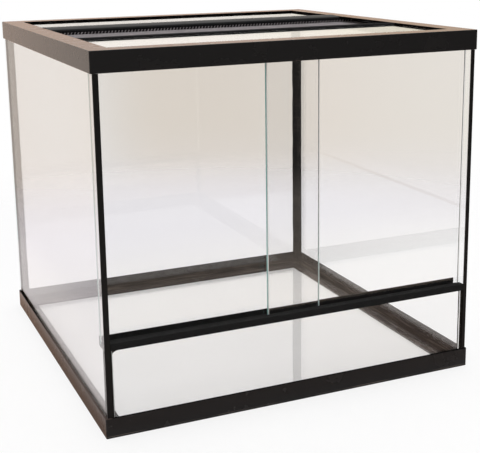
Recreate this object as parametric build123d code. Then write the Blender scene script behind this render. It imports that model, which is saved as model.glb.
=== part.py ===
from build123d import *
import os

# Front-opening glass tank with black rims, two sliding glass doors and a mesh strip in the roof.
# Millimetres, +Z up, the front faces -Y. The origin is on the table, under the middle of the tank.

# Outside of the two rims
tank_width = 500.0
tank_depth = 500.0
tank_height = 450.0

# Rims: one L section, flange down at the foot and flange up at the top
rim_height = 25.0
skirt_thickness = 2.2
flange_width = 27.0
flange_thickness = 2.5
rim_corner_radius = 1.5
rim_edge_radius = 0.8
rim_clearance = 0.3

# Glass
wall_glass = 5.0
floor_glass_thickness = 5.0
door_glass = 5.0
roof_glass = 4.0
glass_arris = 0.4

# Silicone
silicone_bond = 1.0
front_bond = 3.5
floor_bead = 6.5
left_floor_bead = 3.5
back_bead = 11.2
front_bead = 5.0
bead_hollow = 0.3
smear_thickness = 1.0
left_smear = 12.0
right_smear = 6.0

# Lower track: caps the low front pane and carries two door channels behind it
sill_height = 107.5
channel_lip = 8.0
rear_lip = 10.0
rib_height = 5.5
track_base = 2.0
track_cap = 2.0
track_leg = 1.3
track_leg_drop = 0.5
track_wall = 3.1
track_rib = 2.6
track_rear_wall = 2.0
track_edge_radius = 0.4
track_slot_clearance = 0.2
track_end_gap = 0.3
track_bed = 0.8

# Upper track: hangs under the front roof pane, behind the top rim
upper_plate = 2.0
upper_channel_depth = 16.0

# Sliding doors
door_overlap = 74.0
door_side_clearance = 0.7
door_lift_gap = 0.3
door_end_gap = 0.5
door_engagement = 6.5

# Strips on the front edges of the side walls
left_trim_width = 6.8
right_trim_width = 5.0
trim_thickness = 1.2
trim_gap = 0.3

# Roof: front pane, narrow bar, mesh, wide bar, rear pane
roof_front_depth = 150.0
front_bar_width = 17.0
rear_bar_width = 52.0
vent_gap = 140.0
bar_grip = 7.0
bar_web = 2.0
bar_plate = 1.5
bar_lip = 0.9
bar_nose_radius = 5.0
front_bar_crown = 1.5
rear_bar_crown = 2.4
bar_slot_clearance = 0.2
bar_end_gap = 0.3
mesh_thickness = 1.2
mesh_strand = 3.0
mesh_columns = 30
mesh_rows = 10

# Faces of the glass box
half_width = tank_width / 2
half_depth = tank_depth / 2
side_out = half_width - skirt_thickness - rim_clearance
side_in = side_out - wall_glass
back_out = half_depth - skirt_thickness - rim_clearance
back_in = back_out - wall_glass
front_out = -back_out
front_in = front_out + wall_glass
pane_half = side_in - silicone_bond
low_pane_half = side_in - front_bond
floor_half = back_in - silicone_bond
wall_bottom = flange_thickness
wall_top = tank_height - flange_thickness
floor_top = wall_bottom + floor_glass_thickness
bead_bottom = floor_top + floor_bead
roof_top = wall_top
roof_under = roof_top - roof_glass

# Track faces from front to back, shared by both tracks and the doors
channel_width = door_glass + 2 * door_side_clearance
slot_front = front_out - track_slot_clearance
slot_back = front_in + track_slot_clearance
leg_front = slot_front - track_leg
front_channel = slot_back + track_wall
rib_front = front_channel + channel_width
rear_channel = rib_front + track_rib
rear_wall_front = rear_channel + channel_width
track_back = rear_wall_front + track_rear_wall
track_half = side_in - track_end_gap
bed_front = front_out + track_edge_radius
bed_back = front_in - track_edge_radius

# Track heights
track_under = sill_height - track_base
cap_top = sill_height + channel_lip
slot_top = cap_top - track_cap
low_pane_top = slot_top - track_bed
upper_ceiling = roof_under - upper_plate
upper_leg_bottom = upper_ceiling - upper_channel_depth

# Doors
door_reach = side_in - door_end_gap
door_width = door_reach + door_overlap / 2
door_bottom = sill_height + door_lift_gap
door_top = upper_leg_bottom + door_engagement

# Roof bars from front to back
front_bar_front = -half_depth + roof_front_depth
front_bar_back = front_bar_front + front_bar_width
front_web = front_bar_front + bar_grip
rear_bar_front = front_bar_back + vent_gap
rear_bar_back = rear_bar_front + rear_bar_width
rear_web = rear_bar_front + bar_grip
rear_groove = rear_web + bar_web
bar_half = side_in - bar_end_gap
bar_top_half = half_width - flange_width - bar_end_gap
bar_bottom_top = roof_under - bar_slot_clearance
bar_bottom = bar_bottom_top - bar_plate
bar_top_under = roof_top + bar_slot_clearance
bar_shoulder = bar_top_under + bar_lip
roof_front_edge = front_out + silicone_bond
roof_front_back = front_web - bar_slot_clearance
roof_rear_front = rear_groove + bar_slot_clearance
roof_rear_edge = back_in - silicone_bond


def slab(x0, x1, y0, y1, z0, z1):
    """Block between two corners."""
    middle = Pos((x0 + x1) / 2, (y0 + y1) / 2, (z0 + z1) / 2)
    return middle * Box(x1 - x0, y1 - y0, z1 - z0)


def pane(x0, x1, y0, y1, z0, z1):
    """Sheet of glass with its edges seamed."""
    sheet = slab(x0, x1, y0, y1, z0, z1)
    return chamfer(sheet.edges(), glass_arris)


def strip(y0, y1, z0, z1):
    """Rectangle of a profile's section, drawn across the tank."""
    return Pos((y0 + y1) / 2, (z0 + z1) / 2) * Rectangle(y1 - y0, z1 - z0)


def along_width(section, half_length):
    """Section pushed out to both sides of the middle."""
    return extrude(Plane.YZ * section, amount=half_length, both=True)


def hollow_bead(corner_x, corner_y, leg_x, leg_y):
    """Section of a tooled silicone bead: two straight legs and a hollow face."""
    corner = Vector(corner_x, corner_y)
    end_x = corner + Vector(leg_x, 0)
    end_y = corner + Vector(0, leg_y)
    middle = (end_x + end_y) * 0.5
    dip = middle + (corner - middle) * bead_hollow
    outline = [Line(corner, end_x), ThreePointArc(end_x, dip, end_y), Line(end_y, corner)]
    return make_face(outline)


def rim():
    """Rim with its flange underneath and its skirt outside."""
    blank = extrude(RectangleRounded(tank_width, tank_depth, rim_corner_radius), rim_height)
    ends = blank.faces().filter_by(Plane.XY)
    blank = fillet(ends.edges(), rim_edge_radius)
    inside_x = half_width - skirt_thickness
    inside_y = half_depth - skirt_thickness
    opening_x = half_width - flange_width
    opening_y = half_depth - flange_width
    seat = slab(-inside_x, inside_x, -inside_y, inside_y, flange_thickness, 2 * rim_height)
    opening = slab(-opening_x, opening_x, -opening_y, opening_y, -rim_height, rim_height)
    return blank - seat - opening


def lower_track():
    """Cap over the low front pane, with two open channels behind it."""
    section = strip(leg_front, slot_front, sill_height - track_leg_drop, cap_top)
    section += strip(leg_front, front_channel, slot_top, cap_top)
    section += strip(slot_back, front_channel, track_under, cap_top)
    section += strip(slot_back, track_back, track_under, sill_height)
    section += strip(rib_front, rear_channel, track_under, sill_height + rib_height)
    section += strip(rear_wall_front, track_back, track_under, sill_height + rear_lip)
    section = fillet(section.vertices(), track_edge_radius)
    track = along_width(section, track_half)
    notch_back = front_out + track_slot_clearance
    notch_front = leg_front - trim_thickness
    for side, width in ((-1, left_trim_width), (1, right_trim_width)):
        near, far = sorted((side * (side_out - width - trim_gap), side * side_out))
        track -= slab(near, far, notch_front, notch_back, track_under, 2 * cap_top)
    return track


def upper_track():
    """Three legs under a plate, open downwards."""
    section = strip(front_out, track_back, upper_ceiling, roof_under)
    section += strip(slot_back, front_channel, upper_leg_bottom, roof_under)
    section += strip(rib_front, rear_channel, upper_leg_bottom, roof_under)
    section += strip(rear_wall_front, track_back, upper_leg_bottom, roof_under)
    section = fillet(section.vertices(), track_edge_radius)
    return along_width(section, track_half)


def door(side, channel):
    """Sliding pane, closed against the side wall that it belongs to."""
    outer = side * door_reach
    near, far = sorted((outer, outer - side * door_width))
    front = channel + door_side_clearance
    return pane(near, far, front, front + door_glass, door_bottom, door_top)


def edge_trim(side, width):
    """Black strip down the front edge of a side wall, from rim to rim."""
    near, far = sorted((side * (side_out - width), side * side_out))
    low = rim_height + trim_gap
    high = tank_height - rim_height - trim_gap
    return slab(near, far, front_out - trim_thickness, front_out, low, high)


def vent_bar(front, back, groove_end, nose, height):
    """Profile across the roof: a groove for a pane, a crowned cover, and a round nose beside the vent."""
    start = Vector(front, bar_shoulder)
    end = Vector(back, bar_shoulder)
    crest = Vector((front + back) / 2, bar_shoulder + height)
    section = make_face([ThreePointArc(start, crest, end), Line(end, start)])
    section += strip(front, back, bar_bottom, bar_bottom_top)
    section += strip(front, back, bar_top_under, bar_shoulder)
    section += strip(min(groove_end, nose), max(groove_end, nose), bar_bottom, bar_shoulder)
    edge = section.vertices().sort_by_distance((nose, bar_shoulder))[0]
    bar = along_width(fillet(edge, bar_nose_radius), bar_half)
    for side in (-1, 1):
        near, far = sorted((side * bar_top_half, side * half_width))
        bar -= slab(near, far, front, back, roof_top, tank_height + height)
    return bar


def vent_mesh():
    """Open net, bonded under the lower plates of the two bars."""
    front = front_web + bar_web + bar_slot_clearance
    back = rear_web - bar_slot_clearance
    width = 2 * bar_half
    depth = back - front
    pitch_x = (width - mesh_strand) / mesh_columns
    pitch_y = (depth - mesh_strand) / mesh_rows
    gap = Rectangle(pitch_x - mesh_strand, pitch_y - mesh_strand)
    places = GridLocations(pitch_x, pitch_y, mesh_columns, mesh_rows)
    net = Rectangle(width, depth) - [place * gap for place in places]
    return Pos(0, (front + back) / 2, bar_bottom - mesh_thickness) * extrude(net, mesh_thickness)


def floor_seal():
    """Silicone round the floor pane, with a bevelled fillet up the walls."""
    seal = slab(-side_in, side_in, front_in, back_in, wall_bottom, bead_bottom)
    seal -= slab(-pane_half, pane_half, -floor_half, floor_half, wall_bottom, floor_top)
    foot = Rectangle(2 * side_in - floor_bead - left_floor_bead, 2 * (back_in - floor_bead))
    middle = Pos((left_floor_bead - floor_bead) / 2, 0, floor_top)
    return seal - middle * extrude(foot, floor_bead, taper=-45)


def back_seal(side):
    """Silicone in a rear corner: the bond beside the back pane and a bead inside."""
    near, far = sorted((side * pane_half, side * side_in))
    bond = slab(near, far, back_in, back_out, wall_bottom, wall_top)
    section = hollow_bead(side * side_in, back_in, -side * back_bead, -back_bead)
    return bond + Pos(0, 0, bead_bottom) * extrude(section, roof_under - bead_bottom, dir=(0, 0, 1))


def front_seal(side, smear):
    """Silicone at one end of the low front pane, with a smear in the corner under the track."""
    near, far = sorted((side * low_pane_half, side * side_in))
    seal = slab(near, far, front_out, front_in, wall_bottom, low_pane_top)
    section = hollow_bead(side * side_in, front_in, -side * front_bead, front_bead)
    seal += Pos(0, 0, bead_bottom) * extrude(section, track_under - bead_bottom, dir=(0, 0, 1))
    corner = hollow_bead(side * side_in, track_under, -side * smear, -smear)
    patch = extrude(corner, smear_thickness, dir=(0, 0, 1))
    return seal + Pos(0, front_in + smear_thickness, 0) * (Rot(90, 0, 0) * patch)


def roof_seal(pane_start, pane_end, seal_start, seal_end):
    """Silicone round the three edges of a roof pane that the walls and the rim hold."""
    seal = slab(-side_in, side_in, seal_start, seal_end, roof_under, roof_top)
    return seal - slab(-pane_half, pane_half, pane_start, pane_end, roof_under, roof_top)


base_rim = rim()
pieces = {
    "base_frame": base_rim,
    "top_frame": Pos(0, 0, tank_height) * (Rot(180, 0, 0) * base_rim),
    "left_glass": pane(-side_out, -side_in, front_out, back_out, wall_bottom, wall_top),
    "right_glass": pane(side_in, side_out, front_out, back_out, wall_bottom, wall_top),
    "back_glass": pane(-pane_half, pane_half, back_in, back_out, wall_bottom, wall_top),
    "floor_glass": pane(-pane_half, pane_half, -floor_half, floor_half, wall_bottom, floor_top),
    "top_front_glass": pane(-pane_half, pane_half, roof_front_edge, roof_front_back, roof_under, roof_top),
    "top_rear_glass": pane(-pane_half, pane_half, roof_rear_front, roof_rear_edge, roof_under, roof_top),
    "lower_front_glass": pane(-low_pane_half, low_pane_half, front_out, front_in, wall_bottom, low_pane_top),
    "lower_track": lower_track(),
    "upper_track": upper_track(),
    "left_door": door(-1, rear_channel),
    "right_door": door(1, front_channel),
    "left_edge_trim": edge_trim(-1, left_trim_width),
    "right_edge_trim": edge_trim(1, right_trim_width),
    "front_vent_bar": vent_bar(front_bar_front, front_bar_back, front_web, front_bar_back, front_bar_crown),
    "rear_vent_bar": vent_bar(rear_bar_front, rear_bar_back, rear_groove, rear_bar_front, rear_bar_crown),
    "vent_mesh": vent_mesh(),
    "floor_seal": floor_seal(),
    "back_left_seal": back_seal(-1),
    "back_right_seal": back_seal(1),
    "front_left_seal": front_seal(-1, left_smear),
    "front_right_seal": front_seal(1, right_smear),
    "track_seal": slab(-low_pane_half, low_pane_half, bed_front, bed_back, low_pane_top, slot_top),
    "top_front_seal": roof_seal(roof_front_edge, roof_front_back, front_out, roof_front_back),
    "top_rear_seal": roof_seal(roof_rear_front, roof_rear_edge, roof_rear_front, back_in),
}

os.makedirs("parts", exist_ok=True)
for name, piece in pieces.items():
    export_step(piece, f"parts/{name}.step")
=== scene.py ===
import math

import bmesh
import bpy
from bpy.props import FloatProperty, FloatVectorProperty, IntProperty, PointerProperty
from bpy.types import Operator, Panel, PropertyGroup
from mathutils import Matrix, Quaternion, Vector, noise


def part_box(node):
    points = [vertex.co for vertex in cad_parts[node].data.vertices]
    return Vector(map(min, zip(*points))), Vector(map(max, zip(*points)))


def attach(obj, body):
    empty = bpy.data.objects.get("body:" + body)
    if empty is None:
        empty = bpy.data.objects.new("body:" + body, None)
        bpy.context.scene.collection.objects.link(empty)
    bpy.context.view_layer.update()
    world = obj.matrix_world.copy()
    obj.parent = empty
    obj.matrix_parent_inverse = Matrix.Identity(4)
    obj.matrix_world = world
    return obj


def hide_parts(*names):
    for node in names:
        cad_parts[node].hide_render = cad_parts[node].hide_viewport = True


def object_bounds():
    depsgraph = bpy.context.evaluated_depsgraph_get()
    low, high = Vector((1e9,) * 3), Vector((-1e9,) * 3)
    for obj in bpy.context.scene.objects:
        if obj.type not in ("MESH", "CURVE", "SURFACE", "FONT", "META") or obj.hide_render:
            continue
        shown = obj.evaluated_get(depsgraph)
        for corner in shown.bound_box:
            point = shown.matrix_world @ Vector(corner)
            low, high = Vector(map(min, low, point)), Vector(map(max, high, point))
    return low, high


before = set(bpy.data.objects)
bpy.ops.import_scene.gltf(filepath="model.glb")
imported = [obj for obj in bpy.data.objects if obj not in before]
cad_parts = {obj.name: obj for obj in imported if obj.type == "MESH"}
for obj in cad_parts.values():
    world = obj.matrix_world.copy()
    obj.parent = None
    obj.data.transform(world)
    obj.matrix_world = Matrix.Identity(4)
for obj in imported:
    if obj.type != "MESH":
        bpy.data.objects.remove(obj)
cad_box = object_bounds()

bl_info = {
    "name": "Front-opening glass tank",
    "version": (1, 0, 0),
    "blender": (4, 5, 0),
    "location": "View3D > Sidebar > Tank",
    "description": "Dresses a small-animal glass tank with its glass, rims, tracks, seals and vent mesh",
    "category": "Object",
}

MM = 0.001
TOUCH = 0.01 * MM
X, Y, Z = 0, 1, 2
# Faces of a sheet of glass, in the order of its materials; the last is a seamed corner with a painted
# highlight
CLEAR, EDGE, SEAM, HIGHLIGHT_SEAM = range(4)

# New pieces and the CAD nodes that they stand for
WALL_PANES = {
    "left_wall_pane": "left_glass",
    "right_wall_pane": "right_glass",
    "back_wall_pane": "back_glass",
    "floor_pane": "floor_glass",
    "low_front_pane": "lower_front_glass",
}
DOOR_PANES = {
    "left_door_pane": "left_door",
    "right_door_pane": "right_door",
}
ROOF_PANES = {
    "front_roof_pane": "top_front_glass",
    "rear_roof_pane": "top_rear_glass",
}
CORNER_BEADS = {
    "back_left_bead": "back_left_seal",
    "back_right_bead": "back_right_seal",
    "front_left_bead": "front_left_seal",
    "front_right_bead": "front_right_seal",
}
BEDDING_BEADS = {
    "track_bed": "track_seal",
    "front_roof_bead": "top_front_seal",
    "rear_roof_bead": "top_rear_seal",
}

# CAD nodes that keep their shape
RIMS = ("base_frame", "top_frame")
TRACKS = ("lower_track", "upper_track")
EDGE_TRIMS = ("left_edge_trim", "right_edge_trim")


class GlassSettings(PropertyGroup):
    """Finish of the sheet glass."""

    arris: FloatProperty(
        name="Arris", description="Width of the seamed edges", default=0.4 * MM, unit="LENGTH"
    )
    door_arris: FloatProperty(
        name="Door arris", description="Width of the doors' seamed edges", default=0.8 * MM, unit="LENGTH"
    )
    ior: FloatProperty(name="IOR", description="Index of refraction of float glass", default=1.5)
    shadow_tint: FloatVectorProperty(
        name="Shadow tint", description="Light that one face lets through", default=(0.998, 1.0, 0.999),
        size=3, subtype="COLOR",
    )
    edge_colour: FloatVectorProperty(
        name="Edge", description="Colour of the cut edges", default=(0.09, 0.40, 0.38),
        size=3, subtype="COLOR",
    )
    # Painted light: pale colour that the edges glow with from inside the sheet, also the painted highlight of
    # the seamed corners
    painted_edge_light: FloatVectorProperty(
        name="Inner edge", description="Colour of a cut edge seen through the sheet",
        default=(0.88, 0.89, 0.88), size=3, subtype="COLOR",
    )
    # Painted light: paler colour of the doors' middle edges near the lower track
    low_edge_light: FloatVectorProperty(
        name="Low edge", description="Colour of the same edge near the lower track",
        default=(0.60, 0.82, 0.79), size=3, subtype="COLOR",
    )
    seam_colour: FloatVectorProperty(
        name="Seam", description="Colour of the seamed corners", default=(0.22, 0.23, 0.24),
        size=3, subtype="COLOR",
    )
    smudge: FloatProperty(name="Smudge", description="Roughness of the worst smudges", default=0.03)


class PlasticSettings(PropertyGroup):
    """Finish of the rims, tracks, strips and bars."""

    rim_colour: FloatVectorProperty(
        name="Rims", description="Colour of the moulded rims", default=(0.0200, 0.0192, 0.0195),
        size=3, subtype="COLOR",
    )
    # Painted shade: near-black matt colour of the foot rim's upper edge and of the top rim's inner edges
    lip_shade_colour: FloatVectorProperty(
        name="Lip", description="Colour of the upper edge of the foot rim", default=(0.004, 0.0036, 0.0034),
        size=3, subtype="COLOR",
    )
    # Painted sheen: brownish colour of that painted shade on the left, towards the front
    left_lip_sheen: FloatVectorProperty(
        name="Left lip", description="Colour of that edge on the left, towards the front",
        default=(0.095, 0.074, 0.066), size=3, subtype="COLOR",
    )
    track_colour: FloatVectorProperty(
        name="Tracks", description="Colour of the extruded tracks", default=(0.019, 0.019, 0.019),
        size=3, subtype="COLOR",
    )
    trapped_colour: FloatVectorProperty(
        name="Trapped dust", description="Colour of dust between the foot rim and the floor pane",
        default=(0.16, 0.13, 0.11), size=3, subtype="COLOR",
    )
    strip_colour: FloatVectorProperty(
        name="Strips", description="Colour of the strips on the front edges", default=(0.009, 0.009, 0.009),
        size=3, subtype="COLOR",
    )
    bar_colour: FloatVectorProperty(
        name="Bars", description="Colour of the roof bars", default=(0.006, 0.006, 0.0065),
        size=3, subtype="COLOR",
    )
    flange: FloatProperty(
        name="Flange", description="Width of the rims' flanges", default=27.0 * MM, unit="LENGTH"
    )
    dust_film: FloatProperty(
        name="Dust film", description="Film of dust that shows at a slant", default=1.0
    )
    film_colour: FloatVectorProperty(
        name="Film", description="Tint of that film", default=(1.0, 0.58, 0.37), size=3, subtype="COLOR"
    )
    dust_colour: FloatVectorProperty(
        name="Dust", description="Colour of settled dust", default=(0.085, 0.072, 0.062),
        size=3, subtype="COLOR",
    )


class SealSettings(PropertyGroup):
    """Shape and finish of the silicone."""

    colour: FloatVectorProperty(
        name="Silicone", description="Colour of the cured silicone", default=(0.0085, 0.0070, 0.0062),
        size=3, subtype="COLOR",
    )
    smear_colour: FloatVectorProperty(
        name="Smears", description="Colour of dried smears", default=(0.10, 0.080, 0.064),
        size=3, subtype="COLOR",
    )
    unevenness: FloatProperty(
        name="Unevenness", description="How much the width of a bead varies", default=0.045
    )
    corner_drift: FloatProperty(
        name="Corner drift", description="Length over which a corner bead's width drifts", default=22.0 * MM,
        unit="LENGTH",
    )
    floor_drift: FloatProperty(
        name="Floor drift", description="Length over which the floor bead's width drifts", default=45.0 * MM,
        unit="LENGTH",
    )
    stretch: FloatProperty(
        name="Stretch", description="Length of one even stretch of a bead", default=6.0 * MM, unit="LENGTH"
    )
    wetting: FloatProperty(
        name="Wetting", description="How far a bead reaches into the glass that it wets", default=0.03 * MM,
        unit="LENGTH",
    )


class MeshSettings(PropertyGroup):
    """Weave of the vent mesh."""

    pitch: FloatProperty(name="Pitch", description="From wire to wire", default=4.8 * MM, unit="LENGTH")
    wire: FloatProperty(name="Wire", description="Radius of a wire", default=0.55 * MM, unit="LENGTH")
    turn_up: FloatProperty(
        name="Turned up", description="Height of the wire ends at the rear bar", default=4.2 * MM,
        unit="LENGTH",
    )
    end_wire: FloatProperty(
        name="Wire end", description="Radius of a turned-up end", default=0.85 * MM, unit="LENGTH"
    )
    lean: FloatProperty(
        name="Lean", description="How far those ends lean over", default=2.0 * MM, unit="LENGTH"
    )
    sides: IntProperty(name="Sides", description="Sides of a wire", default=4)
    colour: FloatVectorProperty(
        name="Wire colour", description="Colour of the wires", default=(0.31, 0.28, 0.29),
        size=3, subtype="COLOR",
    )


class StageSettings(PropertyGroup):
    """Floor, light and camera."""

    floor_colour: FloatVectorProperty(
        name="Floor", description="Colour of the floor", default=(0.96, 0.955, 0.945),
        size=3, subtype="COLOR",
    )
    # Painted shade: darker, bluer colour of the floor behind the tank
    floor_shade_behind: FloatVectorProperty(
        name="Floor behind", description="Colour of the floor behind the tank",
        default=(0.83, 0.825, 0.865), size=3, subtype="COLOR",
    )
    # Painted shade: the floor by the tank's foot and just in front, as dark faces reflect it
    floor_shade: FloatVectorProperty(
        name="Floor shade", description="Colour of the floor as dark faces reflect it",
        default=(0.36, 0.25, 0.20), size=3, subtype="COLOR",
    )
    # Painted shade: darker, warmer floor further in front, as the doors reflect it
    floor_front_shade: FloatVectorProperty(
        name="Floor in front", description="Colour of the floor further in front, as the doors reflect it",
        default=(0.88, 0.70, 0.57), size=3, subtype="COLOR",
    )
    # Painted light: tint of the floor on the left as the left pane reflects it, with a darker painted shade
    # further left
    floor_blush: FloatVectorProperty(
        name="Floor blush", description="Colour of the floor as the left pane reflects it",
        default=(0.95, 0.895, 0.89), size=3, subtype="COLOR",
    )
    floor_cool: FloatVectorProperty(
        name="Floor coolness", description="Colour of that floor further to the left",
        default=(0.83, 0.785, 0.80), size=3, subtype="COLOR",
    )
    floor_white: FloatProperty(
        name="Floor white", description="Share of plain white in the floor that the camera sees", default=0.82
    )
    floor_middle: FloatVectorProperty(
        name="Floor middle", description="Where the floor fades from", default=(0.0, 0.2, 0.0),
        size=3, subtype="TRANSLATION",
    )
    floor_near: FloatProperty(
        name="Floor near", description="How far the whole floor reaches from there", default=0.48,
        unit="LENGTH",
    )
    floor_far: FloatProperty(
        name="Floor far", description="Where the floor has faded out", default=1.20, unit="LENGTH"
    )
    backdrop_high: FloatVectorProperty(
        name="Backdrop", description="Upper backdrop, as the glass shows it", default=(0.80, 0.735, 0.66),
        size=3, subtype="COLOR",
    )
    backdrop_left: FloatVectorProperty(
        name="Left backdrop", description="Upper backdrop on the left", default=(0.89, 0.885, 0.87),
        size=3, subtype="COLOR",
    )
    backdrop_right: FloatVectorProperty(
        name="Right backdrop", description="Upper backdrop on the right", default=(0.855, 0.82, 0.765),
        size=3, subtype="COLOR",
    )
    backdrop_low: FloatVectorProperty(
        name="Low backdrop", description="Lower backdrop, as the glass shows it",
        default=(0.87, 0.855, 0.885), size=3, subtype="COLOR",
    )
    room_colour: FloatVectorProperty(
        name="Room", description="Light from the walls of the room", default=(0.99, 0.94, 0.88),
        size=3, subtype="COLOR",
    )
    room_left: FloatVectorProperty(
        name="Left of the room", description="Light from the walls on the left", default=(0.86, 0.72, 0.62),
        size=3, subtype="COLOR",
    )
    room_right: FloatVectorProperty(
        name="Right of the room", description="Light from the walls on the right",
        default=(0.90, 0.84, 0.68), size=3, subtype="COLOR",
    )
    ground_colour: FloatVectorProperty(
        name="Ground", description="Light from the ground beyond the floor", default=(0.80, 0.71, 0.64),
        size=3, subtype="COLOR",
    )
    ceiling_colour: FloatVectorProperty(
        name="Ceiling", description="Light from above", default=(1.0, 1.0, 1.02), size=3, subtype="COLOR"
    )
    room_dim: FloatProperty(name="Dim side", description="Share of room light from the front", default=0.06)
    ground_dim: FloatProperty(
        name="Dim ground", description="Share of ground light from the front", default=0.38
    )
    lamp_colour: FloatVectorProperty(
        name="Lamp colour", description="Colour of both lamps", default=(1.0, 0.99, 0.98),
        size=3, subtype="COLOR",
    )
    lamp_size: FloatProperty(
        name="Lamp size", description="Width of both lamps", default=2.0, unit="LENGTH"
    )
    lamp_power: FloatProperty(name="Lamp", description="Power of the soft lamp", default=15.0, unit="POWER")
    lamp_place: FloatVectorProperty(
        name="Lamp place", description="Where the soft lamp hangs", default=(0.3, 0.3, 2.4),
        size=3, subtype="TRANSLATION",
    )
    fill_power: FloatProperty(
        name="Fill", description="Power of the soft lamp in front", default=10.0, unit="POWER"
    )
    fill_place: FloatVectorProperty(
        name="Fill place", description="Where the soft lamp in front hangs", default=(0.0, -2.4, 0.9),
        size=3, subtype="TRANSLATION",
    )
    fill_tilt: FloatProperty(
        name="Fill tilt", description="Tilt of that lamp from straight down", default=math.radians(75.0),
        subtype="ANGLE",
    )
    camera_place: FloatVectorProperty(
        name="Camera", description="Where the camera stands", default=(-0.5280, -1.3045, 0.5580),
        size=3, subtype="TRANSLATION",
    )
    camera_yaw: FloatProperty(
        name="Yaw", description="Turn from +Y towards +X", default=math.radians(23.154), subtype="ANGLE"
    )
    camera_pitch: FloatProperty(
        name="Pitch", description="Tilt down", default=math.radians(12.350), subtype="ANGLE"
    )
    camera_roll: FloatProperty(
        name="Roll", description="Roll about the line of sight", default=math.radians(-0.846), subtype="ANGLE"
    )
    camera_lens: FloatProperty(name="Lens", description="Focal length in millimetres", default=75.94)
    camera_shift: FloatProperty(name="Shift", description="Upright shift of the frame", default=-0.125)


class Signal:
    """One output of a node tree. Arithmetic on it adds Math nodes."""

    def __init__(self, recipe, socket):
        self.recipe = recipe
        self.socket = socket

    def math(self, operation, first, second):
        return self.recipe.node("ShaderNodeMath", {"operation": operation}, {0: first, 1: second})

    def __add__(self, other):
        return self.math("ADD", self, other)

    def __sub__(self, other):
        return self.math("SUBTRACT", self, other)

    def __rsub__(self, other):
        return self.math("SUBTRACT", other, self)

    def __mul__(self, other):
        return self.math("MULTIPLY", self, other)

    __radd__ = __add__
    __rmul__ = __mul__


class Recipe:
    """Node tree of a material or of the world."""

    def __init__(self, owner):
        owner.use_nodes = True
        self.tree = owner.node_tree
        self.tree.nodes.clear()

    def node(self, kind, settings=None, sockets=None, output=0):
        """Adds a node, sets it up, feeds its sockets and gives one of its outputs."""
        made = self.tree.nodes.new(kind)
        for name, value in (settings or {}).items():
            setattr(made, name, value)
        for key, value in (sockets or {}).items():
            if isinstance(value, Signal):
                self.tree.links.new(value.socket, made.inputs[key])
            else:
                made.inputs[key].default_value = value
        return Signal(self, made.outputs[output] if len(made.outputs) else None)

    def blend(self, share, first, second):
        """Mix of two colours."""
        return self.node("ShaderNodeMix", {"data_type": "RGBA"}, {0: share, 6: first, 7: second}, output=2)

    def mottle(self, scale, detail=3.0, stretch=(1, 1, 1)):
        """Noise from 0 to 1 with spots 1 / scale metres wide, on the piece's own coordinates."""
        where = self.node("ShaderNodeTexCoord", output="Object")
        where = self.node("ShaderNodeMapping", {}, {"Vector": where, "Scale": stretch})
        return self.node("ShaderNodeTexNoise", {}, {"Vector": where, "Scale": scale, "Detail": detail})

    def ramp(self, value, low, high):
        """Smooth step from 0 to 1 between two values."""
        sockets = {"Value": value, "From Min": low, "From Max": high}
        return self.node("ShaderNodeMapRange", {"interpolation_type": "SMOOTHSTEP"}, sockets)

    def bump(self, height, strength, distance):
        """Normal raised by a height from 0 to 1."""
        sockets = {"Height": height, "Strength": strength, "Distance": distance}
        return self.node("ShaderNodeBump", {}, sockets)

    def principled(self, sockets):
        return self.node("ShaderNodeBsdfPrincipled", {}, sockets)

    def mix(self, share, first, second):
        """Mix of two shaders."""
        return self.node("ShaderNodeMixShader", {}, {0: share, 1: first, 2: second})

    def ray(self, kind):
        return self.node("ShaderNodeLightPath", output=f"Is {kind} Ray")

    def reflected(self):
        """1 on rays that a glossy face has turned back, and 0 on those that only passed through glass."""
        return self.ramp(self.node("ShaderNodeLightPath", output="Glossy Depth"), 0.4, 0.6)

    def axes(self, vector, *wanted):
        """Some of the three parts of a vector."""
        return (self.node("ShaderNodeSeparateXYZ", {}, {0: vector}, output=axis) for axis in wanted)

    def close(self, shader, kind="Material"):
        """Leads a shader to the output."""
        self.node(f"ShaderNodeOutput{kind}", {}, {"Surface": shader})


def paint(colour):
    """Colour with its alpha, as sockets take it."""
    return (*colour, 1.0)


def shade(colour, share):
    """Darker colour, as sockets take it."""
    return (*(share * channel for channel in colour), 1.0)


def new_material(name):
    material = bpy.data.materials.new(name)
    return material, Recipe(material)


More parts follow.
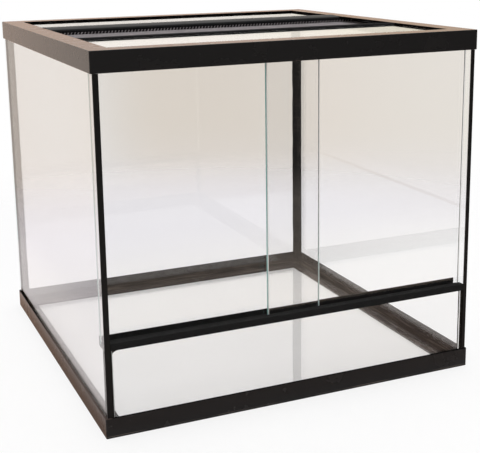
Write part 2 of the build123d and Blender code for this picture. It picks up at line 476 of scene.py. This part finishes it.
def moulded_plastic(look):
    """Satin moulded plastic: fine grain, faint scuffs, and dust in the mottles, with painted shade on the
    foot rim's upper edge and on the top rim's inner edges.
    """
    material, recipe = new_material("moulded_plastic")
    dust = recipe.ramp(recipe.mottle(38.0, 5.0), 0.52, 0.78)
    scuff = recipe.ramp(recipe.mottle(90.0, 2.0, (1.0, 1.0, 5.0)), 0.60, 0.72)
    grain = recipe.mottle(1400.0, 1.0)
    x, y, z = recipe.axes(recipe.node("ShaderNodeTexCoord", output="Object"), X, Y, Z)
    # Streaks that follow the four sides of the foot flange, under the floor pane
    around = recipe.node("ShaderNodeMath", {"operation": "MAXIMUM"}, {0: x * x, 1: y * y})
    along = recipe.node("ShaderNodeCombineXYZ", {}, {0: around * 2.2, 1: (x + y) * 0.03})
    streak = recipe.node("ShaderNodeTexNoise", {}, {"Vector": along, "Scale": 320.0})
    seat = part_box("floor_glass")[0].z
    under_pane = recipe.ramp(z, seat + 0.7 * MM, seat + 0.2 * MM)
    on_flange = recipe.ramp(z, seat - 0.9 * MM, seat - 0.3 * MM)
    trapped = recipe.ramp(streak, 0.45, 0.62) * under_pane * on_flange * 0.6
    worn = recipe.blend(dust * 0.05 + scuff * 0.02, paint(look.rim_colour), paint(look.dust_colour))
    finish = recipe.principled({
        "Base Color": recipe.blend(trapped, worn, paint(look.trapped_colour)),
        "Roughness": 0.27 + dust * 0.03 - scuff * 0.02,
        "Specular IOR Level": 0.27,
        "Sheen Weight": look.dust_film,
        "Sheen Roughness": 0.18,
        "Sheen Tint": paint(look.film_colour),
        "Normal": recipe.bump(grain, 0.05, 0.05 * MM),
    })
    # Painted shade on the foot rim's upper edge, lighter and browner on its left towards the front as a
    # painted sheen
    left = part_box("base_frame")[0].x
    leftward = recipe.ramp(x, left + 10 * MM, left + 5 * MM) * recipe.ramp(y, 0.15, -0.05)
    lip_shade = recipe.principled({
        "Base Color": recipe.blend(leftward, paint(look.lip_shade_colour), paint(look.left_lip_sheen)),
        "Roughness": 0.9,
        "Specular IOR Level": 0.0,
    })
    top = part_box("base_frame")[1].z
    on_lip = recipe.ramp(z, top - 0.6 * MM, top - 0.2 * MM) * recipe.ramp(z, top + 2 * MM, top + MM)
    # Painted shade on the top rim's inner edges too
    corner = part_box("top_frame")[1]
    inside_x, inside_y = (
        recipe.ramp(value * value, (edge + 0.4 * MM) ** 2, (edge + 0.1 * MM) ** 2)
        for value, edge in ((x, corner.x - look.flange), (y, corner.y - look.flange))
    )
    # Both painted shades take the place of the satin finish
    dark = on_lip + inside_x * inside_y
    recipe.close(recipe.mix(dark, finish, lip_shade))
    return material


def drawn_plastic(name, colour, look, roughness, gloss):
    """Extruded plastic: fine die lines along its length, and a little dust."""
    material, recipe = new_material(name)
    lines = recipe.mottle(900.0, 2.0, (0.004, 1.0, 1.0))
    dust = recipe.ramp(recipe.mottle(60.0, 4.0), 0.55, 0.80)
    finish = recipe.principled({
        "Base Color": recipe.blend(dust * 0.10, paint(colour), paint(look.dust_colour)),
        "Roughness": roughness + lines * 0.10 + dust * 0.10,
        "Specular IOR Level": gloss,
        "Normal": recipe.bump(lines, 0.06, 0.05 * MM),
    })
    recipe.close(finish)
    return material


def cured_silicone(name, look, dirt, gloss):
    """Black silicone: soft sheen, tooling ripples, dried smears and more or less dirt in streaks."""
    material, recipe = new_material(name)
    ripple = recipe.mottle(140.0, 3.0)
    smear = recipe.ramp(recipe.mottle(55.0, 4.0), 0.56, 0.74)
    streak = recipe.ramp(recipe.mottle(650.0, 3.0, (0.03, 0.03, 1.0)), 0.50, 0.64)
    worn = smear * 0.12 + streak * dirt
    finish = recipe.principled({
        "Base Color": recipe.blend(worn, paint(look.colour), paint(look.smear_colour)),
        "Roughness": 0.42 + smear * 0.18,
        "Specular IOR Level": gloss,
        "Normal": recipe.bump(ripple, 0.25, 0.6 * MM),
    })
    recipe.close(finish)
    return material


def clear_glass(look):
    """Float glass. Light that falls on things behind it passes straight through."""
    material, recipe = new_material("clear_glass")
    smudge = recipe.ramp(recipe.mottle(9.0, 4.0), 0.58, 0.82)
    sheet = recipe.principled({
        "Base Color": (1.0, 1.0, 1.0, 1.0),
        "Roughness": smudge * look.smudge,
        "IOR": look.ior,
        "Transmission Weight": 1.0,
    })
    open_way = recipe.node("ShaderNodeBsdfTransparent", {}, {"Color": paint(look.shadow_tint)})
    passing = recipe.ray("Shadow") + recipe.ray("Diffuse")
    recipe.close(recipe.mix(passing, sheet, open_way))
    return material


def ground_edge(look):
    """Ground edge of float glass, where the tint of the whole sheet shows. Seen from inside the sheet it is
    pale and glows, painted light, and the doors' middle edges are paler near the lower track, also painted
    light.
    """
    material, recipe = new_material("ground_edge")
    streak = recipe.mottle(260.0, 3.0)
    x, z = recipe.axes(recipe.node("ShaderNodeTexCoord", output="Object"), X, Z)
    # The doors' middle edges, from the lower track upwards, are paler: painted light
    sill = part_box("lower_track")[1].z
    lit_near_track = recipe.ramp(z, sill - 12 * MM, sill - 8 * MM) * recipe.ramp(x, 0.2, 0.1)
    lit_near_track = lit_near_track * recipe.ramp(z, sill + 160 * MM, sill + 40 * MM)
    teal = recipe.blend(streak, shade(look.edge_colour, 0.72), paint(look.edge_colour))
    finish = recipe.principled({
        "Base Color": recipe.blend(lit_near_track * 0.35, teal, paint(look.low_edge_light)),
        "Roughness": 0.22 + streak * 0.15,
        "Coat Weight": 0.5,
        "Normal": recipe.bump(streak, 0.15, 0.1 * MM),
    })
    # Painted light: from inside the sheet the edge is pale and glows
    inside = recipe.node("ShaderNodeNewGeometry", output="Backfacing")
    tint = recipe.blend(lit_near_track, paint(look.painted_edge_light), paint(look.low_edge_light))
    inside_glow = recipe.principled({
        "Base Color": tint,
        "Roughness": 0.6,
        "Emission Color": tint,
        "Emission Strength": 0.35,
    })
    recipe.close(recipe.mix(inside, finish, inside_glow))
    return material


def seamed_corner(name, colour):
    """Narrow ground corner of float glass."""
    material, recipe = new_material(name)
    grit = recipe.mottle(500.0, 2.0)
    finish = recipe.principled({
        "Base Color": recipe.blend(grit, shade(colour, 0.8), paint(colour)),
        "Roughness": 0.5 + grit * 0.2,
    })
    recipe.close(finish)
    return material


def coated_wire(look):
    """Painted wire, a little worn."""
    material, recipe = new_material("coated_wire")
    wear = recipe.ramp(recipe.mottle(70.0, 4.0), 0.45, 0.75)
    finish = recipe.principled({
        "Base Color": recipe.blend(wear, shade(look.colour, 0.6), paint(look.colour)),
        "Roughness": 0.42 + wear * 0.15,
    })
    recipe.close(finish)
    return material


def finish_of(name, maker, *details):
    """A material by name, made the first time that it is asked for."""
    return bpy.data.materials.get(name) or maker(*details)


def dress(nodes, material):
    """Gives CAD nodes their finish."""
    for node in nodes:
        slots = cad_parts[node].data.materials
        slots.clear()
        slots.append(material)


def add_object(name, shape, materials):
    """Object of a bmesh, at the origin."""
    mesh = bpy.data.meshes.new(name)
    shape.to_mesh(mesh)
    shape.free()
    for material in materials:
        mesh.materials.append(material)
    made = bpy.data.objects.new(name, mesh)
    bpy.context.scene.collection.objects.link(made)
    return made


def add_piece(name, shape, materials, node, body="tank"):
    """Piece that rides on a body and stands for a CAD node, which is hidden."""
    piece = add_object(name, shape, materials)
    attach(piece, body)
    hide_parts(node)
    return piece


def soften(piece, angle):
    """Shades a piece smooth, apart from edges sharper than an angle in degrees."""
    mesh = piece.data
    mesh.polygons.foreach_set("use_smooth", [True] * len(mesh.polygons))
    mesh.set_sharp_from_angle(angle=math.radians(angle))


def glass_sheet(name, node, look, arris, body="tank"):
    """Sheet of glass with seamed edges: clear on its two faces, ground on its edges, with a painted highlight
    on the seamed corners that face front and left.
    """
    low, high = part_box(node)
    size = high - low
    thin = min((X, Y, Z), key=lambda axis: size[axis])
    shape = bmesh.new()
    bmesh.ops.create_cube(shape, size=1.0)
    bmesh.ops.scale(shape, vec=size, verts=shape.verts)
    bmesh.ops.translate(shape, vec=(low + high) / 2, verts=shape.verts)
    bmesh.ops.bevel(
        shape, geom=shape.edges[:], offset=arris, segments=1, profile=0.5, affect="EDGES", material=-1
    )
    shape.normal_update()
    for face in shape.faces:
        normal = face.normal
        straight = max(abs(part) for part in normal) > 0.99
        face.material_index = CLEAR if abs(normal[thin]) > 0.99 else EDGE if straight else SEAM
        # Painted highlight: seamed corners that face front and left take a pale colour
        if min(abs(normal.x), -normal.y) > 0.6:
            face.material_index = HIGHLIGHT_SEAM
    clear = finish_of("clear_glass", clear_glass, look)
    edge = finish_of("ground_edge", ground_edge, look)
    seam = finish_of("seamed_corner", seamed_corner, "seamed_corner", look.seam_colour)
    # Those corners in the pale painted highlight
    highlight_seam = finish_of("lit_corner", seamed_corner, "lit_corner", look.painted_edge_light)
    return add_piece(name, shape, (clear, edge, seam, highlight_seam), node, body)


def merged_copy(node):
    """Mesh of a CAD node, closed and with its flat faces whole."""
    shape = bmesh.new()
    shape.from_mesh(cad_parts[node].data)
    bmesh.ops.remove_doubles(shape, verts=shape.verts, dist=TOUCH)
    bmesh.ops.dissolve_limit(
        shape, angle_limit=math.radians(0.5), verts=shape.verts, edges=shape.edges,
        use_dissolve_boundaries=False,
    )
    return shape


def cut_across(shape, axis, low, high, step):
    """Cuts a mesh across an axis into even stretches."""
    count = max(2, round((high - low) / step))
    normal = Vector((0, 0, 0))
    normal[axis] = 1.0
    for index in range(1, count):
        place = normal * (low + (high - low) * index / count)
        everything = shape.verts[:] + shape.edges[:] + shape.faces[:]
        bmesh.ops.bisect_plane(shape, geom=everything, dist=1e-6, plane_co=place, plane_no=normal)


def wander(place, span):
    """Smooth drift, about -1 to 1, along a bead."""
    return noise.noise(place / span) + 0.5 * noise.noise(place * 2.7 / span)


def close_faces(shape):
    """Splits the many-sided faces, so that moved points leave no warped ones."""
    bmesh.ops.triangulate(shape, faces=[face for face in shape.faces if len(face.verts) > 4])


def corner_bead(name, node, look, finish):
    """Upright bead whose two feathered edges wander on the glass."""
    low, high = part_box(node)
    at_back = high.y > 0
    pane_low, pane_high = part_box("back_glass" if at_back else "lower_front_glass")
    inner_y = pane_low.y if at_back else pane_high.y
    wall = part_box("right_glass")[0].x
    bond = wall - pane_high.x
    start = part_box("floor_seal")[1].z
    shape = merged_copy(node)
    cut_across(shape, Z, low.z, high.z, look.stretch)
    for vert in shape.verts:
        from_wall = wall - abs(vert.co.x)
        from_pane = abs(inner_y) - abs(vert.co.y)
        grown = other = 1.0
        if vert.co.z > start + MM and from_pane > -TOUCH:
            along = Vector((vert.co.z, math.copysign(1.0, low.x), math.copysign(1.0, inner_y)))
            grown += look.unevenness * wander(along, look.corner_drift)
            other += look.unevenness * wander(along + Vector((3.0, 0, 0)), look.corner_drift)
        wet_wall = -look.wetting if from_wall < TOUCH else from_wall * grown
        if from_wall > TOUCH and from_pane < TOUCH and abs(from_wall - bond) < TOUCH:
            wet_wall += look.wetting if at_back else -3 * look.wetting
        wet_pane = from_pane * other if from_pane > TOUCH else from_pane - look.wetting
        vert.co.x = math.copysign(wall - wet_wall, vert.co.x)
        vert.co.y = math.copysign(abs(inner_y) - wet_pane, vert.co.y)
    close_faces(shape)
    piece = add_piece(name, shape, (finish,), node)
    soften(piece, 40.0)


def floor_bead(name, node, look, finish):
    """Fillet round the floor, with an uneven foot on the floor pane and an uneven top on the walls."""
    low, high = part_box(node)
    floor_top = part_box("floor_glass")[1].z
    leg = high.z - floor_top
    shape = merged_copy(node)
    cut_across(shape, X, low.x, high.x, 2 * look.stretch)
    cut_across(shape, Y, low.y, high.y, 2 * look.stretch)
    for vert in shape.verts:
        drift = look.unevenness * leg * wander(vert.co.copy(), look.floor_drift)
        on_floor = abs(vert.co.z - floor_top) < TOUCH
        for axis in (X, Y):
            reach = high[axis] - abs(vert.co[axis])
            if on_floor and 2 * MM < reach < leg + 0.05 * MM:
                vert.co[axis] += math.copysign(1.6 * drift, vert.co[axis])
            elif reach < TOUCH:
                vert.co[axis] += math.copysign(look.wetting, vert.co[axis])
        if on_floor:
            vert.co.z -= look.wetting
        elif abs(vert.co.z - high.z) < TOUCH:
            vert.co.z += drift
    close_faces(shape)
    piece = add_piece(name, shape, (finish,), node)
    soften(piece, 30.0)


def bedding_bead(name, node, look, finish):
    """Thin silicone bed between a pane and what holds it."""
    low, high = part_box(node)
    shape = merged_copy(node)
    cut_across(shape, X, low.x, high.x, 4 * look.stretch)
    close_faces(shape)
    piece = add_piece(name, shape, (finish,), node)
    soften(piece, 30.0)


def wire_count(reach, pitch):
    """Even number of wires that fills a width."""
    return 2 * round((reach / pitch + 1) / 2)


def wire_set(along, low, high, look):
    """Parallel wires along one axis, each passing over and under the wires of the other set."""
    across = Y if along == X else X
    reach = high - low - Vector((2, 2, 2)) * look.wire
    crossings = wire_count(reach[along], look.pitch)
    wires = wire_count(reach[across], look.pitch)
    start = Vector((low.x + look.wire, low.y + look.wire, (low.z + high.z) / 2))
    step = Vector((0, 0, 0))
    step[along] = reach[along] / (crossings - 1)
    shift = Vector((0, 0, 0))
    shift[across] = reach[across] / (wires - 1)
    turn = Quaternion((0, 1, 0) if along == X else (1, 0, 0), math.pi / 2).to_matrix()
    shape = bmesh.new()
    for place in (start, start + shift):
        circle = bmesh.ops.create_circle(shape, cap_ends=False, segments=look.sides, radius=look.wire)
        ring = circle["verts"]
        bmesh.ops.rotate(shape, matrix=turn, verts=ring)
        bmesh.ops.translate(shape, vec=place, verts=ring)
        rim = [edge for edge in shape.edges if edge.verts[0] in ring]
        bmesh.ops.spin(
            shape, geom=ring + rim, cent=place, axis=(0, 0, 1), dvec=step, angle=0.0, steps=crossings - 1,
            use_merge=False,
        )
    for vert in shape.verts:
        crossing = round((vert.co[along] - start[along]) / step[along])
        wire = round((vert.co[across] - start[across]) / shift[across])
        over = (crossing + wire + along) % 2
        vert.co.z += reach.z / 2 if over else -reach.z / 2
    bmesh.ops.holes_fill(shape, edges=shape.edges[:], sides=look.sides)
    bmesh.ops.recalc_face_normals(shape, faces=shape.faces[:])
    pair = shape.verts[:] + shape.edges[:] + shape.faces[:]
    for index in range(1, wires // 2):
        copy = bmesh.ops.duplicate(shape, geom=pair)["geom"]
        moved = [item for item in copy if isinstance(item, bmesh.types.BMVert)]
        bmesh.ops.translate(shape, vec=2 * index * shift, verts=moved)
    return shape


def turned_ends(low, high, look):
    """Wire ends that are turned up in front of the rear bar."""
    reach = high.x - low.x - 2 * look.end_wire - look.lean
    count = wire_count(reach, look.pitch)
    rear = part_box("rear_vent_bar")[0].y - 2 * look.end_wire
    shape = bmesh.new()
    for index in range(count):
        post = bmesh.ops.create_cone(
            shape, cap_ends=True, segments=look.sides, radius1=look.end_wire, radius2=look.end_wire,
            depth=look.turn_up,
        )["verts"]
        top = [vert for vert in post if vert.co.z > 0]
        bmesh.ops.translate(shape, vec=(look.lean, 0, 0), verts=top)
        foot = Vector((low.x + look.end_wire + reach * index / (count - 1), rear, low.z + look.turn_up / 2))
        bmesh.ops.translate(shape, vec=foot, verts=post)
    return shape


def joined(shapes):
    """One bmesh of several."""
    whole = bmesh.new()
    for shape in shapes:
        scratch = bpy.data.meshes.new("scratch")
        shape.to_mesh(scratch)
        shape.free()
        whole.from_mesh(scratch)
        bpy.data.meshes.remove(scratch)
    return whole


class TANK_OT_stage(Operator):
    """Sets the floor, the light and the camera"""

    bl_idname = "tank.stage"
    bl_label = "Stage"

    def execute(self, context):
        look = context.scene.tank_stage
        self.floor(look)
        self.world(context, look)
        self.lamp(context, look, "soft_lamp", look.lamp_power, look.lamp_place)
        fill = self.lamp(context, look, "front_fill", look.fill_power, look.fill_place, look.fill_tilt)
        fill.visible_glossy = False
        fill.visible_transmission = False
        self.camera(context, look)
        context.scene.view_settings.view_transform = "Standard"
        return {"FINISHED"}

    def floor(self, look):
        """Pale floor, with painted shade behind the tank. What glass and gloss reflect of it is tinted by
        side, as the room's light falls, in painted light and shade, and is darker by the tank's foot and in
        front, in painted shade; where the glass shows the floor right of the tank, part of it glows white,
        painted light.
        """
        shape = bmesh.new()
        bmesh.ops.create_grid(shape, x_segments=1, y_segments=1, size=look.floor_far)
        bmesh.ops.translate(shape, vec=look.floor_middle, verts=shape.verts)
        material, recipe = new_material("pale_floor")
        where = recipe.node("ShaderNodeTexCoord", output="Object")
        ends = {0: where, 1: look.floor_middle}
        away = recipe.node("ShaderNodeVectorMath", {"operation": "DISTANCE"}, ends, output="Value")
        faded = recipe.ramp(away, look.floor_near, look.floor_far)
        x, y = recipe.axes(where, X, Y)
        (left, front, _), (right, back, _) = cad_box
        tone = recipe.mottle(3.0, 2.0)
        # Painted shade: the floor darkens behind the tank
        behind = recipe.ramp(y, back - 0.05, back + 0.35) * 0.8
        floor_tint = recipe.blend(tone * 0.2 + behind, paint(look.floor_colour), paint(look.floor_shade_behind))
        matt = recipe.principled({"Base Color": floor_tint, "Roughness": 0.7})
        # Painted light and shade of the floor on the left, for what is reflected
        further_left = recipe.ramp(x, left - 0.04, left - 0.11)
        left_tint = recipe.blend(further_left, paint(look.floor_blush), paint(look.floor_cool))
        blush = recipe.principled({"Base Color": left_tint, "Roughness": 0.7})
        # Painted shade of the floor in front, for what dark faces and the doors reflect
        further_front = recipe.ramp(y, front - 0.20, front - 0.30)
        front_tint = recipe.blend(further_front, paint(look.floor_shade), paint(look.floor_front_shade))
        dim = recipe.principled({"Base Color": front_tint, "Roughness": 0.7})
        white = recipe.node("ShaderNodeEmission", {}, {"Color": (1.0, 1.0, 1.0, 1.0), "Strength": 1.0})
        bounced = recipe.reflected()
        # Painted shade in reflections: a strip by the tank's left foot and the floor in front
        on_left = recipe.ramp(x, left + 0.01, left - 0.01)
        shade_at_foot = recipe.ramp(x, left - 0.0155, left - 0.0110) * recipe.ramp(x, left + 0.005, left)
        in_front = recipe.ramp(y, front + 0.01, front - 0.03)
        turned_back = recipe.mix(bounced * on_left, matt, blush)
        turned_back = recipe.mix(bounced * (shade_at_foot + in_front), turned_back, dim)
        # Painted light: where the glass shows the floor right of the tank, part of it glows plain white
        glow_on_right = recipe.ramp(x, right - 0.03, right + 0.03) * recipe.ramp(y, back + 0.10, back - 0.05) * 0.8
        through = recipe.ray("Transmission") * glow_on_right * (1.0 - bounced)
        plain = recipe.ray("Camera") * look.floor_white + through
        seen = recipe.mix(plain, turned_back, white)
        clear = recipe.node("ShaderNodeBsdfTransparent")
        recipe.close(recipe.mix(faded, seen, clear))
        add_object("pale_floor", shape, (material,))

    def world(self, context, look):
        """Room that lights the tank, a backdrop that its glass shows, and white for the camera."""
        world = bpy.data.worlds.new("soft_room")
        context.scene.world = world
        recipe = Recipe(world)
        x, y, z = recipe.axes(recipe.node("ShaderNodeTexCoord", output="Generated"), X, Y, Z)
        # Walls, ceiling and ground, dim towards the front
        side = recipe.blend(recipe.ramp(x, 0.05, -0.15), paint(look.room_colour), paint(look.room_left))
        side = recipe.blend(recipe.ramp(x, 0.35, 0.60), side, paint(look.room_right))
        wall = recipe.blend(recipe.ramp(z, 0.15, 0.6), side, paint(look.ceiling_colour))
        wall = recipe.blend(recipe.ramp(z, 0.02, -0.06), wall, paint(look.ground_colour))
        dim_wall = shade(look.room_colour, look.room_dim)
        dim_ground = shade(look.ground_colour, look.ground_dim)
        front = recipe.blend(recipe.ramp(z, -0.21, -0.25), dim_wall, dim_ground)
        room = recipe.blend(recipe.ramp(z * 0.7 + y * 0.8 - x * 0.3, -0.40, 0.30), front, wall)
        # Backdrop, from left to right and from high to low
        left_part = recipe.ramp(x, 0.20, 0.32)
        high = recipe.blend(left_part, paint(look.backdrop_left), paint(look.backdrop_high))
        high = recipe.blend(recipe.ramp(x, 0.35, 0.60), high, paint(look.backdrop_right))
        backdrop = recipe.blend(recipe.ramp(z, -0.16, -0.32), high, paint(look.backdrop_low))
        lit = recipe.node("ShaderNodeBackground", {}, {"Color": room, "Strength": 1.0})
        through = recipe.node("ShaderNodeBackground", {}, {"Color": backdrop, "Strength": 1.0})
        white = recipe.node("ShaderNodeBackground", {}, {"Color": (1.0, 1.0, 1.0, 1.0), "Strength": 1.0})
        straight = recipe.ray("Transmission") * (1.0 - recipe.reflected())
        seen = recipe.mix(recipe.ray("Camera"), recipe.mix(straight, lit, through), white)
        recipe.close(seen, "World")

    def lamp(self, context, look, name, power, place, tilt=0.0):
        """Soft square lamp."""
        light = bpy.data.lights.new(name, "AREA")
        light.shape = "SQUARE"
        light.size = look.lamp_size
        light.energy = power
        light.color = look.lamp_colour
        lamp = bpy.data.objects.new(name, light)
        lamp.location = place
        lamp.rotation_euler = (tilt, 0.0, 0.0)
        context.scene.collection.objects.link(lamp)
        return lamp

    def camera(self, context, look):
        """Camera that stands where the photo was taken."""
        data = bpy.data.cameras.new("photo_camera")
        data.lens = look.camera_lens
        data.shift_y = look.camera_shift
        camera = bpy.data.objects.new("photo_camera", data)
        camera.location = look.camera_place
        camera.rotation_mode = "QUATERNION"
        turn = Quaternion((0, 0, 1), -look.camera_yaw)
        tilt = Quaternion((1, 0, 0), math.radians(90.0) - look.camera_pitch)
        roll = Quaternion((0, 0, 1), look.camera_roll)
        camera.rotation_quaternion = turn @ tilt @ roll
        context.scene.collection.objects.link(camera)
        context.scene.camera = camera


class TANK_OT_rims(Operator):
    """Dresses the foot rim and the top rim"""

    bl_idname = "tank.rims"
    bl_label = "Rims"

    def execute(self, context):
        dress(RIMS, moulded_plastic(context.scene.tank_plastic))
        return {"FINISHED"}


class TANK_OT_walls(Operator):
    """Builds the fixed panes: walls, floor and low front pane"""

    bl_idname = "tank.walls"
    bl_label = "Wall panes"

    def execute(self, context):
        look = context.scene.tank_glass
        for name, node in WALL_PANES.items():
            glass_sheet(name, node, look, look.arris)
        return {"FINISHED"}


class TANK_OT_doors(Operator):
    """Builds the two sliding doors"""

    bl_idname = "tank.doors"
    bl_label = "Doors"

    def execute(self, context):
        look = context.scene.tank_glass
        for name, node in DOOR_PANES.items():
            glass_sheet(name, node, look, look.door_arris, body=node)
        return {"FINISHED"}


class TANK_OT_roof(Operator):
    """Builds the two roof panes"""

    bl_idname = "tank.roof"
    bl_label = "Roof panes"

    def execute(self, context):
        look = context.scene.tank_glass
        for name, node in ROOF_PANES.items():
            glass_sheet(name, node, look, look.arris)
        return {"FINISHED"}


class TANK_OT_tracks(Operator):
    """Dresses the two door tracks"""

    bl_idname = "tank.tracks"
    bl_label = "Tracks"

    def execute(self, context):
        look = context.scene.tank_plastic
        finish = drawn_plastic("drawn_track_plastic", look.track_colour, look, roughness=0.60, gloss=0.02)
        dress(TRACKS, finish)
        return {"FINISHED"}


class TANK_OT_strips(Operator):
    """Dresses the strips on the front edges of the side walls"""

    bl_idname = "tank.strips"
    bl_label = "Edge strips"

    def execute(self, context):
        look = context.scene.tank_plastic
        finish = drawn_plastic("drawn_strip_plastic", look.strip_colour, look, roughness=0.40, gloss=0.28)
        dress(EDGE_TRIMS, finish)
        return {"FINISHED"}


class TANK_OT_bars(Operator):
    """Dresses the two bars across the roof"""

    bl_idname = "tank.bars"
    bl_label = "Vent bars"

    def execute(self, context):
        look = context.scene.tank_plastic
        dull = drawn_plastic("drawn_front_bar_plastic", look.bar_colour, look, roughness=0.50, gloss=0.01)
        satin = drawn_plastic("drawn_rear_bar_plastic", look.bar_colour, look, roughness=0.36, gloss=0.05)
        dress(("front_vent_bar",), dull)
        dress(("rear_vent_bar",), satin)
        return {"FINISHED"}


class TANK_OT_mesh(Operator):
    """Weaves the vent mesh"""

    bl_idname = "tank.mesh"
    bl_label = "Vent mesh"

    def execute(self, context):
        look = context.scene.tank_mesh
        low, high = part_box("vent_mesh")
        wires = (wire_set(X, low, high, look), wire_set(Y, low, high, look), turned_ends(low, high, look))
        add_piece("woven_vent_mesh", joined(wires), (coated_wire(look),), "vent_mesh")
        return {"FINISHED"}


class TANK_OT_seals(Operator):
    """Builds the silicone beads"""

    bl_idname = "tank.seals"
    bl_label = "Silicone"

    def execute(self, context):
        look = context.scene.tank_seals
        finish = cured_silicone("cured_silicone", look, dirt=0.15, gloss=0.10)
        worn = cured_silicone("worn_silicone", look, dirt=0.60, gloss=0.03)
        floor_bead("floor_bead", "floor_seal", look, worn)
        for name, node in CORNER_BEADS.items():
            corner_bead(name, node, look, finish)
        for name, node in BEDDING_BEADS.items():
            bedding_bead(name, node, look, finish)
        return {"FINISHED"}


OPERATORS = (
    TANK_OT_stage, TANK_OT_rims, TANK_OT_walls, TANK_OT_doors, TANK_OT_roof, TANK_OT_tracks,
    TANK_OT_strips, TANK_OT_bars, TANK_OT_mesh, TANK_OT_seals,
)
SETTINGS = {
    "tank_glass": GlassSettings,
    "tank_plastic": PlasticSettings,
    "tank_seals": SealSettings,
    "tank_mesh": MeshSettings,
    "tank_stage": StageSettings,
}


class TANK_PT_panel(Panel):
    """Lists the steps that dress the tank"""

    bl_idname = "TANK_PT_panel"
    bl_label = "Glass tank"
    bl_space_type = "VIEW_3D"
    bl_region_type = "UI"
    bl_category = "Tank"

    def draw(self, context):
        for operator in OPERATORS:
            self.layout.operator(operator.bl_idname)


def register():
    for settings in SETTINGS.values():
        bpy.utils.register_class(settings)
    for name, settings in SETTINGS.items():
        setattr(bpy.types.Scene, name, PointerProperty(type=settings))
    for cls in (*OPERATORS, TANK_PT_panel):
        bpy.utils.register_class(cls)


def unregister():
    for cls in (TANK_PT_panel, *reversed(OPERATORS)):
        bpy.utils.unregister_class(cls)
    for name, settings in SETTINGS.items():
        delattr(bpy.types.Scene, name)
        bpy.utils.unregister_class(settings)


def main():
    register()
    bpy.ops.tank.stage()
    bpy.ops.tank.rims()
    bpy.ops.tank.walls()
    bpy.ops.tank.doors()
    bpy.ops.tank.roof()
    bpy.ops.tank.tracks()
    bpy.ops.tank.strips()
    bpy.ops.tank.bars()
    bpy.ops.tank.mesh()
    bpy.ops.tank.seals()


if __name__ == "__main__":
    main()
